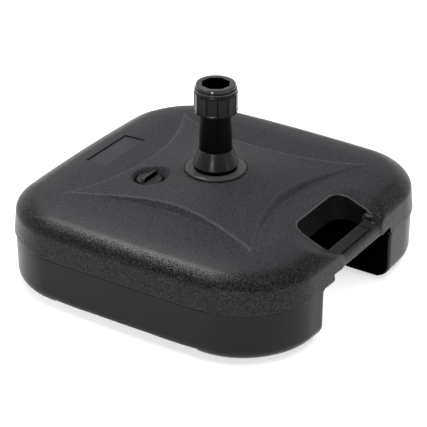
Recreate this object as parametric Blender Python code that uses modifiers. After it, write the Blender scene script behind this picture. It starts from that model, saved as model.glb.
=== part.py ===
"""Fillable parasol base: a blow-moulded tank with a carrying bar, a clamping stem and two wheels.

Metres, +Z up. The origin is on the stem's axis, on the surface that the feet stand on.
The carrying bar is on the +X side and the transport wheels are on the -X side.
"""

import math

import bmesh
import bpy

GAP = 0.0003  # between neighbours that rest on or run in each other
OVERSHOOT = 0.010  # how far a cutter stands out past what it cuts

# Tank, outside
HALF_X = 0.2414
HALF_Y = 0.2400
CORNER_RADIUS = 0.106
SIDE_BULGE = 0.0107
FOOT_INSET = 0.042
LOWER_INSET = 0.003
LOWER_ROUND_HEIGHT = 0.025
PARTING_Z = 0.083
LEDGE = 0.0022
LEDGE_RISE = 0.0006
SHOULDER_Z = 0.114
SHOULDER_INSET = 0.003
RIM_Z = 0.141
RIM_INSET = 0.077
UNDERSIDE_Z = 0.0035
ARCH_Z = 0.0145
ARCH_DEPTH_Y = 0.200
FOOT_START_X = 0.130
FOOT_START_Y = 0.108
WALL = 0.004
CORNER_STEPS = 8
SIDE_STEPS = 5

# Raised star on the top, with four concave sides
STAR_TIP_X = 0.163
STAR_TIP_Y = 0.160
STAR_WAIST = 0.121
BAND_WIDTH = 0.008
PLATEAU_RADIUS = 0.050
PLATEAU_Z = 0.1582
DOME_RADIUS = 0.2285
DOME_POWER = 2.06
STAR_STEPS = 10

# Carrying bar, the hole inside it and the notch under it
HOLE_X = (0.168, 0.220)
HOLE_HALF_Y = 0.0635
HOLE_RADIUS = 0.022
BAR_UNDERSIDE_Z = 0.0945
BAR_TOP_Z = 0.1170
STRIP_Z = 0.1125
STRIP_HALF_Y = 0.057
BAR_ROUND_Z = 0.0999
SADDLE_Y = (0.050, 0.080)
SADDLE_RISE = 0.0135
BAR_CREST_X = 0.2425
BAR_OUTER_X = 0.2519
UNDER_BAR_Y = (-0.080, 0.084)
NOTCH_Y = (-0.104, 0.086)

# Plain recess for a label
LABEL_X = (-0.200, -0.162)
LABEL_HALF_Y = 0.051
LABEL_Z = 0.1378

# Filler
FILLER_X = -0.079
FILLER_Y = -0.058
DISH_Z = 0.140
DISH_FLOOR_RADIUS = 0.0205
DISH_SLOPE = 0.78  # how far the dish's wall runs out for each metre that it rises
NECK_BORE = 0.0155
NECK_BOTTOM_Z = 0.124
CAP_RADIUS = 0.019
CAP_RIB_TOP = 0.1525

# Stem
WELL_RADIUS = 0.0273
TUBE_RADIUS = 0.0242
TUBE_BORE = 0.0198
TUBE_FOOT_Z = 0.0045
COLLAR_TOP_Z = 0.194
COLLAR_FOOT_Z = 0.1680
HEAD_RADIUS = 0.0263
HEAD_BORE = 0.0222
HEAD_Z = (0.259, 0.284)
NUT_RADIUS = 0.0322
NUT_FOOT_Z = 0.2535
NUT_TOP_Z = 0.2965
NUT_FLUTES = 12
COLLET_FLAT = 0.0196
COLLET_SIDES = 8
RECESS_RADIUS = 0.046
RECESS_TOP_Z = 0.0163

# Wheels
AXLE_RADIUS = 0.004
AXLE_X = -0.2225
AXLE_Z = 0.0305
AXLE_HALF_LENGTH = 0.1335
WHEEL_RADIUS = 0.029
WHEEL_HALF_WIDTH = 0.0125
WHEEL_Y = 0.104
POCKET_RADIUS = 0.033
POCKET_HALF_WIDTH = 0.0155


def clear_scene():
    for old in list(bpy.data.objects):
        bpy.data.objects.remove(old, do_unlink=True)


def collection(name, helper=False):
    made = bpy.data.collections.new(name)
    bpy.context.scene.collection.children.link(made)
    made.hide_render = helper
    return made


def plastic(name, colour, roughness, metallic=0.0):
    made = bpy.data.materials.new(name)
    made.use_nodes = True
    shader = made.node_tree.nodes["Principled BSDF"]
    shader.inputs["Base Color"].default_value = (*colour, 1.0)
    shader.inputs["Roughness"].default_value = roughness
    shader.inputs["Metallic"].default_value = metallic
    return made


clear_scene()
PARTS = collection("parasol_base")
CUTTERS = collection("cutters", helper=True)
GRAINED = plastic("grained_black_plastic", (0.052, 0.053, 0.056), 0.6)
SATIN = plastic("satin_black_plastic", (0.030, 0.030, 0.031), 0.4)
GLOSSY = plastic("gloss_black_plastic", (0.008, 0.008, 0.009), 0.25)
RUBBER = plastic("seal_rubber", (0.015, 0.015, 0.015), 0.8)
STEEL = plastic("zinc_plated_steel", (0.55, 0.56, 0.58), 0.35, 1.0)


# ---------------------------------------------------------------- building blocks


def place(mesh, name, material=None, at=(0, 0, 0), turn=(0, 0, 0)):
    """Links a mesh as a part if it has a material, and as a cutter if it has none."""
    obj = bpy.data.objects.new(name, mesh)
    obj.location = at
    obj.rotation_euler = turn
    if material:
        mesh.materials.append(material)
        PARTS.objects.link(obj)
    else:
        CUTTERS.objects.link(obj)
        obj.hide_render = True
        obj.display_type = "WIRE"
    return obj


def loft(name, rings, material=None, **where):
    """A closed solid through rings that have the same number of points, from the lowest to the highest."""
    build = bmesh.new()
    loops = [[build.verts.new(point) for point in ring] for ring in rings]
    for lower, upper in zip(loops, loops[1:]):
        for i in range(len(lower)):
            j = (i + 1) % len(lower)
            build.faces.new((lower[i], lower[j], upper[j], upper[i]))
    build.faces.new(reversed(loops[0]))
    build.faces.new(loops[-1])
    mesh = bpy.data.meshes.new(name)
    build.to_mesh(mesh)
    build.free()
    return place(mesh, name, material, **where)


def box(name, low, high, material=None):
    build = bmesh.new()
    bmesh.ops.create_cube(build, size=1.0)
    for vert in build.verts:
        vert.co = [a + (b - a) * (c + 0.5) for a, b, c in zip(low, high, vert.co)]
    mesh = bpy.data.meshes.new(name)
    build.to_mesh(mesh)
    build.free()
    return place(mesh, name, material)


def cone(name, bottom_radius, top_radius, low_z, high_z, steps, at=(0, 0), material=None):
    build = bmesh.new()
    bmesh.ops.create_cone(
        build,
        cap_ends=True,
        segments=steps,
        radius1=bottom_radius,
        radius2=top_radius,
        depth=high_z - low_z,
    )
    mesh = bpy.data.meshes.new(name)
    build.to_mesh(mesh)
    build.free()
    return place(mesh, name, material, at=(at[0], at[1], (low_z + high_z) / 2))


def cylinder(name, radius, low_z, high_z, steps=32, at=(0, 0), material=None):
    return cone(name, radius, radius, low_z, high_z, steps, at, material)


def cross_cylinder(name, radius, half_length, at, steps=24, material=None):
    """A cylinder whose axis runs along Y."""
    made = cylinder(name, radius, -half_length, half_length, steps, material=material)
    made.location = at
    made.rotation_euler = (math.radians(90), 0, 0)
    return made


def turned(name, profile, material=None, steps=40, **where):
    """A profile of (radius, z) points, down its outer side and up its bore, turned about Z."""
    mesh = bpy.data.meshes.new(name)
    last = len(profile)
    edges = [(i, (i + 1) % last) for i in range(last)]
    mesh.from_pydata([(radius, 0, z) for radius, z in profile], edges, [])
    obj = place(mesh, name, material, **where)
    screw = obj.modifiers.new("turn", "SCREW")
    screw.steps = steps
    screw.render_steps = steps
    screw.use_merge_vertices = True
    screw.merge_threshold = 0.00001
    screw.use_smooth_shade = True
    return obj


def combine(obj, other, operation):
    step = obj.modifiers.new(f"{operation.lower()} {other.name}", "BOOLEAN")
    step.operation = operation
    step.object = other
    step.solver = "EXACT"


def cut(obj, *cutters):
    for cutter in cutters:
        combine(obj, cutter, "DIFFERENCE")


def join(obj, *others):
    for other in others:
        combine(obj, other, "UNION")


def quarter_ellipse(steps):
    """(share of the run, share of the rise) from a vertical start to a level end."""
    angles = [math.radians(90 * i / steps) for i in range(steps + 1)]
    return [(1 - math.cos(a), math.sin(a)) for a in angles]


# ---------------------------------------------------------------- tank


def outline(inset, z, steps=CORNER_STEPS):
    """The tank's plan outline, a rounded square with gently bowed sides, taken in by inset."""
    half_x = HALF_X - inset
    half_y = HALF_Y - inset
    radius = max(CORNER_RADIUS - inset, 0.006)
    ring = []
    for quarter in range(4):
        sign_x = (1, -1, -1, 1)[quarter]
        sign_y = (1, 1, -1, -1)[quarter]
        centre_x = sign_x * (half_x - radius)
        centre_y = sign_y * (half_y - radius)
        for i in range(steps + 1):
            angle = math.radians(90 * (quarter + i / steps))
            ring.append((centre_x + radius * math.cos(angle), centre_y + radius * math.sin(angle)))
        next_x = (-1, -1, 1, 1)[quarter] * (half_x - radius)
        next_y = (1, -1, -1, 1)[quarter] * (half_y - radius)
        out = math.radians(90 * (quarter + 1))
        start = ring[-1]
        end = (next_x + radius * math.cos(out), next_y + radius * math.sin(out))
        for i in range(1, SIDE_STEPS + 1):
            share = i / (SIDE_STEPS + 1)
            ring.append(tuple(a + (b - a) * share for a, b in zip(start, end)))
    return [
        (
            x + SIDE_BULGE * x / half_x * (1 - (y / half_y) ** 2),
            y + SIDE_BULGE * y / half_y * (1 - (x / half_x) ** 2),
            z,
        )
        for x, y in ring
    ]


def circle(radius, z, like):
    """A circle whose points lie in the same directions as those of the ring given."""
    return [(radius * x / math.hypot(x, y), radius * y / math.hypot(x, y), z) for x, y, _ in like]


def tank_body():
    rings = []
    for run, rise in reversed(quarter_ellipse(4)):
        inset = LOWER_INSET + (FOOT_INSET - LOWER_INSET) * run
        rings.append(outline(inset, LOWER_ROUND_HEIGHT * (1 - rise)))
    rings.append(outline(LEDGE, PARTING_Z - LEDGE_RISE))
    rings.append(outline(0, PARTING_Z))
    for run, rise in quarter_ellipse(6):
        inset = SHOULDER_INSET + (RIM_INSET - SHOULDER_INSET) * run
        rings.append(outline(inset, SHOULDER_Z + (RIM_Z - SHOULDER_Z) * rise))
    return loft("tank", rings, GRAINED)


def star_side(share):
    """A point on the star's concave -Y side, and how near it is to the middle: 1 there, 0 at a tip."""
    sagitta = STAR_TIP_Y - STAR_WAIST
    radius = (STAR_TIP_X**2 + sagitta**2) / (2 * sagitta)
    angle = math.asin(STAR_TIP_X / radius) * share
    y = -(STAR_WAIST + radius) + radius * math.cos(angle)
    return radius * math.sin(angle), y, 1 - share**2


def star():
    flat = []
    for quarter in range(4):
        angle = math.radians(90 * quarter)
        for i in range(STAR_STEPS):
            x, y, middle = star_side(2 * i / STAR_STEPS - 1)
            turned_x = x * math.cos(angle) - y * math.sin(angle)
            turned_y = x * math.sin(angle) + y * math.cos(angle)
            flat.append((turned_x, turned_y, middle))
    foot = [(x, y, RIM_Z - WALL / 2) for x, y, _ in flat]
    edge = [(x, y, RIM_Z + GAP) for x, y, _ in flat]
    rings = [foot, edge]
    for share in (0, 0.3, 0.65, 1):
        ring = []
        for x, y, middle in flat:
            reach = math.hypot(x, y)
            crest = reach - BAND_WIDTH * (0.3 + 0.7 * middle)
            radius = crest + (PLATEAU_RADIUS - crest) * share
            ring.append((x * radius / reach, y * radius / reach, RIM_Z + GAP + dome_rise(radius)))
        rings.append(ring)
    return loft("star", rings)


def dome_rise(radius):
    """How far the star's domed top stands above the rim, that far from the stem's axis."""
    share = (DOME_RADIUS - radius) / (DOME_RADIUS - PLATEAU_RADIUS)
    return (PLATEAU_Z - GAP - RIM_Z) * max(share, 0) ** DOME_POWER


def hollow():
    """The space inside the tank's walls, before the shapes that it goes around are taken out of it."""
    floor_z = UNDERSIDE_Z + WALL + 0.001
    rings = []
    for run, rise in reversed(quarter_ellipse(3)):
        inset = LOWER_INSET + (FOOT_INSET - LOWER_INSET) * run + WALL
        rings.append(outline(inset, LOWER_ROUND_HEIGHT + (floor_z - LOWER_ROUND_HEIGHT) * rise, 5))
    for run, rise in quarter_ellipse(4):
        inset = SHOULDER_INSET + (RIM_INSET - SHOULDER_INSET) * run + WALL
        low, high = SHOULDER_Z - WALL, RIM_Z - WALL
        rings.append(outline(inset, low + (high - low) * rise, 5))
    rings.append(circle(0.100, RIM_Z - WALL + 0.003, rings[-1]))
    rings.append(circle(PLATEAU_RADIUS - 0.005, PLATEAU_Z - WALL - 0.0007, rings[-1]))
    return loft("hollow", rings)


def walls_round_openings():
    """What stays solid inside the hollow: a wall round each thing that passes through or into the tank."""
    top = RIM_Z + 0.05
    hole_x = HOLE_X[0] - WALL
    side = HALF_X + 0.05
    pocket_x = AXLE_X + POCKET_RADIUS + WALL
    solids = [
        cylinder("well_wall", WELL_RADIUS + WALL, -OVERSHOOT, top, 32),
        cylinder("recess_wall", RECESS_RADIUS + WALL, -OVERSHOOT, RECESS_TOP_Z + WALL, 32),
        cylinder("dish_wall", DISH_FLOOR_RADIUS + 0.009, DISH_Z - WALL, top, 24, (FILLER_X, FILLER_Y)),
        cylinder("neck_wall", NECK_BORE + WALL, NECK_BOTTOM_Z, top, 24, (FILLER_X, FILLER_Y)),
        box("hole_wall", (hole_x, -HOLE_HALF_Y - WALL, -OVERSHOOT), (side, HOLE_HALF_Y + WALL, top)),
        box(
            "bar_wall",
            (hole_x, UNDER_BAR_Y[0] - WALL, -OVERSHOOT),
            (side, UNDER_BAR_Y[1] + WALL, BAR_UNDERSIDE_Z + WALL),
        ),
        box(
            "notch_wall",
            (hole_x, NOTCH_Y[0] - WALL, -OVERSHOOT),
            (side, NOTCH_Y[1] + WALL, PARTING_Z + WALL),
        ),
        box(
            "label_wall",
            (LABEL_X[0] - WALL, -LABEL_HALF_Y - WALL, LABEL_Z - WALL),
            (LABEL_X[1] + WALL, LABEL_HALF_Y + WALL, top),
        ),
        box(
            "groove_wall",
            (AXLE_X - 0.012, -AXLE_HALF_LENGTH - WALL, -OVERSHOOT),
            (AXLE_X + 0.012, AXLE_HALF_LENGTH + WALL, AXLE_Z + 0.012),
        ),
    ]
    for side_name, sign in (("left", -1), ("right", 1)):
        middle = sign * WHEEL_Y
        solids.append(
            box(
                f"pocket_wall_{side_name}",
                (-side, middle - POCKET_HALF_WIDTH - WALL, -OVERSHOOT),
                (pocket_x, middle + POCKET_HALF_WIDTH + WALL, AXLE_Z + POCKET_RADIUS + WALL),
            )
        )
    return solids


def rounded_prism(name, x, y, z, radius, steps=5):
    rings = []
    for level in z:
        ring = []
        for quarter in range(4):
            centre_x = (x[1] - radius, x[0] + radius, x[0] + radius, x[1] - radius)[quarter]
            centre_y = (y[1] - radius, y[1] - radius, y[0] + radius, y[0] + radius)[quarter]
            for i in range(steps + 1):
                angle = math.radians(90 * (quarter + i / steps))
                ring.append(
                    (centre_x + radius * math.cos(angle), centre_y + radius * math.sin(angle), level)
                )
        rings.append(ring)
    return loft(name, rings)


def carrying_gap_cutters():
    past = HALF_X + 0.07
    inner = HOLE_X[0]
    hole_y = (-HOLE_HALF_Y, HOLE_HALF_Y)
    top = RIM_Z + 0.03
    return [
        rounded_prism("notch", (inner - 0.001, past), NOTCH_Y, (-OVERSHOOT, PARTING_Z), 0.007),
        rounded_prism(
            "under_bar", (inner - 0.0005, past), UNDER_BAR_Y, (PARTING_Z - 0.02, BAR_UNDERSIDE_Z), 0.010
        ),
        rounded_prism("hole", (inner, HOLE_X[1]), hole_y, (PARTING_Z, top), HOLE_RADIUS, 6),
        box("hole_end", (HOLE_X[1] - 0.029, hole_y[0], 0.090), (HOLE_X[1], hole_y[1], top)),
        rounded_prism(
            "bar_ends", (inner + 0.002, BAR_CREST_X - 0.004), hole_y, (BAR_TOP_Z, top), HOLE_RADIUS, 6
        ),
        box("sunken_strip", (HOLE_X[1] - 0.015, -STRIP_HALF_Y, STRIP_Z), (BAR_CREST_X, STRIP_HALF_Y, top)),
        over_bar(),
    ]


def over_bar():
    """The space above the bar's outer band: it rises at both ends to meet the tank's roundover."""
    low_x = BAR_CREST_X - 0.002
    past_x = HALF_X + 0.02
    past_z = RIM_Z + 0.03
    round_x = BAR_OUTER_X - BAR_CREST_X
    rings = []
    inner_y, end_y = SADDLE_Y
    for y, rise in ((-end_y, SADDLE_RISE), (-inner_y, 0), (inner_y, 0), (end_y, SADDLE_RISE)):
        low_z = BAR_ROUND_Z + rise
        ring = [(low_x, y, STRIP_Z + rise), (low_x, y, past_z), (past_x, y, past_z), (past_x, y, low_z)]
        for run, lift in quarter_ellipse(4):
            ring.append((BAR_OUTER_X - round_x * run, y, low_z + (STRIP_Z - BAR_ROUND_Z) * lift))
        rings.append(ring)
    return loft("over_bar", rings)


def filler_cutters():
    at = (FILLER_X, FILLER_Y)
    rise = 0.030
    return [
        cone(
            "dish", DISH_FLOOR_RADIUS, DISH_FLOOR_RADIUS + rise * DISH_SLOPE, DISH_Z, DISH_Z + rise, 32, at
        ),
        cylinder("neck", NECK_BORE, NECK_BOTTOM_Z - OVERSHOOT, DISH_Z + 0.002, 24, at),
    ]


def wheel_pocket_cutters():
    cutters = []
    for side_name, sign in (("left", -1), ("right", 1)):
        middle = sign * WHEEL_Y
        low_y = middle - POCKET_HALF_WIDTH
        high_y = middle + POCKET_HALF_WIDTH
        inner_x = AXLE_X + POCKET_RADIUS
        past_x = -HALF_X - 0.05
        round_part = cross_cylinder(
            f"pocket_{side_name}", POCKET_RADIUS, POCKET_HALF_WIDTH, (AXLE_X, middle, AXLE_Z)
        )
        below = box(
            f"pocket_mouth_{side_name}", (past_x, low_y, -OVERSHOOT), (inner_x, high_y, AXLE_Z)
        )
        beside = box(
            f"pocket_side_{side_name}",
            (past_x, low_y, -OVERSHOOT),
            (AXLE_X, high_y, AXLE_Z + POCKET_RADIUS),
        )
        cutters += [round_part, below, beside]
    return cutters


def axle_groove_cutters():
    half = AXLE_HALF_LENGTH + 0.001
    mouth = AXLE_RADIUS * 0.9
    return [
        cross_cylinder("groove", AXLE_RADIUS + GAP, half, (AXLE_X, 0, AXLE_Z), 16),
        box("groove_mouth", (AXLE_X - mouth, -half, -OVERSHOOT), (AXLE_X + mouth, half, AXLE_Z)),
    ]


def tank():
    body = tank_body()
    join(body, star())
    inside = hollow()
    cut(inside, *walls_round_openings(), *arches("arch_wall", WALL))
    cut(body, inside)
    past = HALF_X + 0.05
    cut(
        body,
        cylinder("well", WELL_RADIUS, -OVERSHOOT, PLATEAU_Z + OVERSHOOT, 40),
        cylinder("recess", RECESS_RADIUS, -OVERSHOOT, RECESS_TOP_Z, 40),
        box("raise_x", (-FOOT_START_X, -past, -OVERSHOOT), (FOOT_START_X, past, UNDERSIDE_Z)),
        box("raise_y", (-past, -FOOT_START_Y, -OVERSHOOT), (past, FOOT_START_Y, UNDERSIDE_Z)),
        box("label", (LABEL_X[0], -LABEL_HALF_Y, LABEL_Z), (LABEL_X[1], LABEL_HALF_Y, RIM_Z + 0.03)),
        *arches("arch", 0),
        *carrying_gap_cutters(),
        *filler_cutters(),
        *wheel_pocket_cutters(),
        *axle_groove_cutters(),
    )
    return body


def arches(name, wall):
    """The long bottom edges are raised between the corner feet. wall makes the space larger all round."""
    x = FOOT_START_X + wall
    near = ARCH_DEPTH_Y - wall
    top = ARCH_Z + wall
    past = HALF_Y + 0.05
    return [
        box(f"{name}_left", (-x, -past, -OVERSHOOT), (x, -near, top)),
        box(f"{name}_right", (-x, near, -OVERSHOOT), (x, past, top)),
    ]


# ---------------------------------------------------------------- filler


def filler_cap():
    """A disc with a finger rib, over a hollow plug that fits in the neck."""
    plug = NECK_BORE - 2 * GAP
    seat = DISH_Z + 0.0018
    top = seat + 0.0032
    cap = turned(
        "filler_cap",
        [
            (0.0, top),
            (CAP_RADIUS - 0.001, top),
            (CAP_RADIUS, top - 0.001),
            (CAP_RADIUS, seat),
            (plug, seat),
            (plug, NECK_BOTTOM_Z + 0.002),
            (plug - 0.0025, NECK_BOTTOM_Z + 0.002),
            (plug - 0.0025, seat - 0.001),
            (0.0, seat - 0.001),
        ],
        SATIN,
        steps=36,
        at=(FILLER_X, FILLER_Y, 0),
    )
    rib = box(
        "cap_rib",
        (FILLER_X - 0.0025, FILLER_Y - 0.0175, seat + 0.001),
        (FILLER_X + 0.0025, FILLER_Y + 0.0175, CAP_RIB_TOP),
    )
    join(cap, rib)
    return cap


def filler_seal():
    low, high = DISH_Z + GAP, DISH_Z + 0.0018 - GAP
    inner, outer = NECK_BORE, CAP_RADIUS - 0.0007
    return turned(
        "filler_seal",
        [(inner, high), (outer, high), (outer, low), (inner, low)],
        RUBBER,
        steps=36,
        at=(FILLER_X, FILLER_Y, 0),
    )


# ---------------------------------------------------------------- stem


def stem_flange():
    low = PLATEAU_Z + GAP
    top = low + 0.0034
    bore = TUBE_RADIUS + GAP
    neck = WELL_RADIUS - GAP
    return turned(
        "stem_flange",
        [
            (bore, top),
            (0.0438, top),
            (0.0449, top - 0.0012),
            (0.0449, low),
            (neck, low),
            (neck, low - 0.022),
            (bore, low - 0.022),
        ],
        SATIN,
    )


def stem_collar():
    bore = TUBE_RADIUS + GAP
    low = PLATEAU_Z + 2 * GAP + 0.0034
    return turned(
        "stem_collar",
        [
            (bore, COLLAR_TOP_Z),
            (0.0252, COLLAR_TOP_Z),
            (0.0274, 0.1868),
            (0.0305, 0.1775),
            (0.0336, 0.1700),
            (0.0341, COLLAR_FOOT_Z),
            (0.0328, COLLAR_FOOT_Z - 0.0008),
            (0.0295, COLLAR_FOOT_Z),
            (0.0295, low),
            (bore, low),
        ],
        SATIN,
    )


def stem_tube():
    lip = TUBE_BORE - 0.003
    return turned(
        "stem_tube",
        [
            (HEAD_BORE, HEAD_Z[1]),
            (HEAD_RADIUS, HEAD_Z[1]),
            (HEAD_RADIUS, HEAD_Z[0]),
            (0.0236, HEAD_Z[0] - 0.003),
            (0.0236, 0.240),
            (TUBE_RADIUS, COLLAR_TOP_Z + 0.001),
            (TUBE_RADIUS, TUBE_FOOT_Z),
            (lip, TUBE_FOOT_Z),
            (lip, TUBE_FOOT_Z + 0.003),
            (TUBE_BORE, TUBE_FOOT_Z + 0.003),
            (TUBE_BORE, HEAD_Z[0] + 0.001),
            (HEAD_BORE, HEAD_Z[0] + 0.003),
        ],
        GLOSSY,
    )


def pole_collet():
    """A ring split from above into fingers, with flats inside that close on the pole."""
    foot = HEAD_Z[0] + 0.0035
    seat = HEAD_Z[1] + GAP
    shoulder = HEAD_Z[1] + 0.003
    tip = NUT_TOP_Z - 0.0042
    bore = 0.014
    collet = turned(
        "pole_collet",
        [
            (bore, tip),
            (0.0222, tip),
            (0.0226, tip - 0.0005),
            (0.0226, shoulder),
            (0.0256, shoulder),
            (0.0256, seat),
            (HEAD_BORE - GAP, seat),
            (HEAD_BORE - GAP, foot),
            (bore, foot),
        ],
        SATIN,
        steps=40,
    )
    across_corners = COLLET_FLAT / math.cos(math.pi / COLLET_SIDES)
    bore_cutter = cylinder("collet_bore", across_corners, foot - 0.01, tip + 0.01, COLLET_SIDES)
    bore_cutter.rotation_euler = (0, 0, math.pi / COLLET_SIDES)
    cut(collet, bore_cutter)
    for i in range(COLLET_SIDES // 2):
        slot = box(
            f"collet_slot_{i}", (-0.030, -0.0008, foot + 0.006), (0.030, 0.0008, tip + 0.01)
        )
        slot.rotation_euler = (0, 0, math.pi * (2 * i + 1) / COLLET_SIDES)
        cut(collet, slot)
    return collet


def slip_washer():
    low = HEAD_Z[1] + 0.003 + GAP
    return turned(
        "slip_washer",
        [(0.0230, low + 0.0014), (0.0262, low + 0.0014), (0.0262, low), (0.0230, low)],
        SATIN,
        steps=40,
    )


def clamp_nut():
    """A hand nut: a fluted skirt, a groove and a bead above it, and a flat top round the opening."""
    skirt_top = NUT_FOOT_Z + 0.0330
    land = HEAD_Z[1] + 0.003 + 2 * GAP + 0.0014
    nut = turned(
        "clamp_nut",
        [
            (0.0208, NUT_TOP_Z),
            (0.0286, NUT_TOP_Z),
            (0.0296, NUT_TOP_Z - 0.0012),
            (0.0296, NUT_TOP_Z - 0.0036),
            (0.0290, NUT_TOP_Z - 0.0046),
            (0.0310, NUT_TOP_Z - 0.0060),
            (0.0310, NUT_TOP_Z - 0.0082),
            (0.0302, NUT_TOP_Z - 0.0092),
            (NUT_RADIUS - 0.0008, skirt_top),
            (NUT_RADIUS, skirt_top - 0.0020),
            (NUT_RADIUS, NUT_FOOT_Z + 0.0040),
            (NUT_RADIUS + 0.0005, NUT_FOOT_Z + 0.0020),
            (NUT_RADIUS - 0.0004, NUT_FOOT_Z),
            (HEAD_RADIUS + GAP + 0.001, NUT_FOOT_Z),
            (HEAD_RADIUS + GAP, NUT_FOOT_Z + 0.001),
            (HEAD_RADIUS + GAP, land),
            (0.0230, land),
            (0.0230, NUT_TOP_Z - 0.0032),
            (0.0208, NUT_TOP_Z - 0.0032),
        ],
        SATIN,
    )
    for i in range(NUT_FLUTES):
        angle = 2 * math.pi * (i + 0.25) / NUT_FLUTES
        reach = NUT_RADIUS + 0.0026
        flute = cylinder(
            f"flute_{i}",
            0.004,
            NUT_FOOT_Z - 0.002,
            skirt_top - 0.003,
            10,
            (reach * math.cos(angle), reach * math.sin(angle)),
        )
        cut(nut, flute)
    return nut


def lock_nut():
    bore = TUBE_RADIUS + GAP
    low = TUBE_FOOT_Z + 0.001
    top = RECESS_TOP_Z - 0.0024
    spigot = WELL_RADIUS - GAP
    nut = turned(
        "lock_nut",
        [
            (bore, top + 0.016),
            (spigot, top + 0.016),
            (spigot, top),
            (0.0360, top),
            (0.0360, low),
            (bore, low),
        ],
        SATIN,
        steps=40,
    )
    for i in range(6):
        angle = math.radians(60 * i)
        lug = box(f"lug_{i}", (0.0340, -0.004, low + 0.0005), (0.0400, 0.004, top - 0.0005))
        lug.rotation_euler = (0, 0, angle)
        join(nut, lug)
    return nut


def lock_washer():
    low = RECESS_TOP_Z - 0.0021
    top = RECESS_TOP_Z - GAP
    inner = WELL_RADIUS
    return turned(
        "lock_washer", [(inner, top), (0.0400, top), (0.0400, low), (inner, low)], RUBBER, steps=40
    )


def pole_stop():
    low = TUBE_FOOT_Z + 0.003 + GAP
    top = low + 0.0042
    radius = TUBE_BORE - GAP
    return turned(
        "pole_stop",
        [(0.004, top), (radius - 0.0008, top), (radius, top - 0.0008), (radius, low), (0.004, low)],
        SATIN,
        steps=40,
    )


# ---------------------------------------------------------------- wheels


def wheel(side_name, sign):
    """A moulded wheel, turned about Y: a tread, a web and a hub."""
    half = WHEEL_HALF_WIDTH
    bore = AXLE_RADIUS + GAP
    rim = WHEEL_RADIUS - 0.005
    return turned(
        f"wheel_{side_name}",
        [
            (bore, half),
            (0.0090, half),
            (0.0095, 0.0035),
            (rim, 0.0035),
            (rim, half),
            (WHEEL_RADIUS - 0.0015, half),
            (WHEEL_RADIUS, half - 0.0020),
            (WHEEL_RADIUS, -half + 0.0020),
            (WHEEL_RADIUS - 0.0015, -half),
            (rim, -half),
            (rim, -0.0035),
            (0.0095, -0.0035),
            (0.0090, -half),
            (bore, -half),
        ],
        GLOSSY,
        steps=28,
        at=(AXLE_X, sign * WHEEL_Y, AXLE_Z),
        turn=(math.radians(90), 0, 0),
    )


def wheel_axle():
    return cross_cylinder(
        "wheel_axle", AXLE_RADIUS, AXLE_HALF_LENGTH, (AXLE_X, 0, AXLE_Z), 20, material=STEEL
    )


tank()
filler_cap()
filler_seal()
stem_flange()
stem_collar()
stem_tube()
pole_collet()
slip_washer()
clamp_nut()
lock_nut()
lock_washer()
pole_stop()
wheel("left", -1)
wheel("right", 1)
wheel_axle()
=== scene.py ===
"""Looks of the fillable parasol base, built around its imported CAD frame.

Metres, +Z up. The origin is on the stem's axis, on the surface that the feet stand on.
The tank and its cap are signed-distance shapes, meshed with their edges kept. The rest is turned.
"""

import math

import bpy
import numpy as np
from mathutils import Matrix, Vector


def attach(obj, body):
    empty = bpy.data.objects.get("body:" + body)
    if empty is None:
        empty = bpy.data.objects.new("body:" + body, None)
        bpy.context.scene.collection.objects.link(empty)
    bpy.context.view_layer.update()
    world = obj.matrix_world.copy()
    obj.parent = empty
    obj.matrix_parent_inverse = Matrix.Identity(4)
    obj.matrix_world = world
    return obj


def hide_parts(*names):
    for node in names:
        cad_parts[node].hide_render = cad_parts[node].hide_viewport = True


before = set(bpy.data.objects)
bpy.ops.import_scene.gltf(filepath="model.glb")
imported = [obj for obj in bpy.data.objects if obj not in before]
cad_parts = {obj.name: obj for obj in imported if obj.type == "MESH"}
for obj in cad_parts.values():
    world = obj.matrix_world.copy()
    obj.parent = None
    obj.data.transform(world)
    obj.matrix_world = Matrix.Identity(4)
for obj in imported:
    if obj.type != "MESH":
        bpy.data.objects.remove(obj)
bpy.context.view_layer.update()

# ---------------------------------------------------------------- sizes of the tank

HALF_X = 0.2414
HALF_Y = 0.2400
CORNER_RADIUS = 0.106
SIDE_BULGE = 0.0107
FOOT_INSET = 0.042
LOWER_INSET = 0.003
LOWER_ROUND_HEIGHT = 0.025
PARTING_Z = 0.083
LEDGE = 0.0022
SEAM_HEIGHT = 0.0014
SEAM_DEPTH = 0.0012
SHOULDER_Z = 0.114
SHOULDER_INSET = 0.003
RIM_Z = 0.141
RIM_INSET = 0.077
UNDERSIDE_Z = 0.0035
ARCH_Z = 0.0145
ARCH_DEPTH_Y = 0.200
FOOT_START = (0.130, 0.108)

STAR_TIP = (0.163, 0.160)
STAR_WAIST = 0.121
BAND_SLOPE = 0.88
PLATEAU_RADIUS = 0.050
PLATEAU_Z = 0.1582
DOME_RADIUS = 0.2285
DOME_POWER = 2.06
STAR_STEP = 0.0014

HOLE_X = (0.168, 0.220)
HOLE_END_X = 0.2385  # the hole's outline at the top, past the bar that stands in it
HOLE_HALF_Y = 0.0635
HOLE_RADIUS = 0.022
BAR_UNDERSIDE_Z = 0.0945
BAR_TOP_Z = 0.1170
SADDLE_X = 0.237
SADDLE_Y = (-0.050, 0.0525)
SADDLE_SLOPE = (0.45, 0.80)
ROLL_REACH = 0.0045
BAR_CREST_X = 0.2425
BAR_OUTER_X = 0.2519
BAR_ROUND_Z = 0.0999
BAR_DEPTH = 0.008
STRIP_Z = 0.1125
STRIP_HALF_Y = 0.0570
GROOVE_Y = (-0.056, 0.037)
GROOVE_HALF_WIDTH = 0.0008
GROOVE_DEPTH = 0.0012
CROSS_X = 0.233
CROSS_HALF_X = 0.0100
UNDER_BAR_Y = (-0.080, 0.084)
NOTCH_Y = (-0.104, 0.086)

LABEL_X = (-0.200, -0.162)
LABEL_HALF_Y = 0.051
LABEL_DEPTH = 0.0025
LABEL_EDGE = 0.0012
GRAIN_INSET = (0.018, 0.036)  # between these insets the coarse grain gives way to the flats' finer one

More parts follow.
